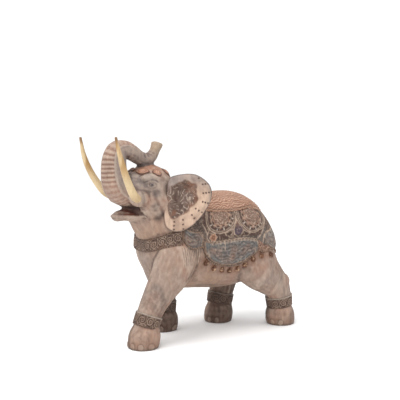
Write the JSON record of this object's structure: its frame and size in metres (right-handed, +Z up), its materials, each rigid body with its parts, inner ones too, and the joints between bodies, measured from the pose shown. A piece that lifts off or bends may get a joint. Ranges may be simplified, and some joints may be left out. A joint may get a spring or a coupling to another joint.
{
  "type": "elephant figurine",
  "caption": "Walking elephant figurine with raised trunk, tusks, spread ears, ornamented saddle cloth, breast band and anklets, standing on its four soles.",
  "frame": {"origin": "on the ground under the middle of the figure's outer box", "axes": "+Z up, -Y the way the elephant faces, +X its left side"},
  "size_m": [0.096, 0.2152, 0.1952],
  "materials": {
    "wood": "satin, washed grey-brown in the hollows",
    "ivory": "satin cream and gold",
    "eye": "gloss",
    "cloth": "painted blue-grey and brown relief",
    "seat": "painted copper, fine relief",
    "band": "painted dark brown, scroll relief",
    "petal": "painted copper",
    "bronze": "painted bronze"
  },
  "bodies": {
    "root": {"body": "wood", "ear_left": "wood", "tusk_left": "ivory", "eye_left": "eye", "tassel_left_1": "bronze", "tassel_left_2": "bronze", "tassel_left_3": "bronze", "tassel_left_4": "bronze", "tassel_left_5": "bronze", "tassel_left_6": "bronze", "tassel_left_7": "bronze", "tassel_left_8": "bronze", "tassel_left_9": "bronze", "tassel_left_10": "bronze", "petal_left_1": "petal", "petal_left_2": "petal", "petal_left_3": "petal", "ear_right": "wood", "tusk_right": "ivory", "eye_right": "eye", "tassel_right_1": "bronze", "tassel_right_2": "bronze", "tassel_right_3": "bronze", "tassel_right_4": "bronze", "tassel_right_5": "bronze", "tassel_right_6": "bronze", "tassel_right_7": "bronze", "tassel_right_8": "bronze", "tassel_right_9": "bronze", "tassel_right_10": "bronze", "petal_right_1": "petal", "petal_right_2": "petal", "petal_right_3": "petal", "petal_front": "petal", "petal_rear": "petal", "saddle_cloth": "cloth", "seat_pad": "seat", "breast_band": "band", "anklet_front_left": "band", "anklet_front_right": "band", "anklet_hind_left": "band", "anklet_hind_right": "band"}
  },
  "joints": []
}
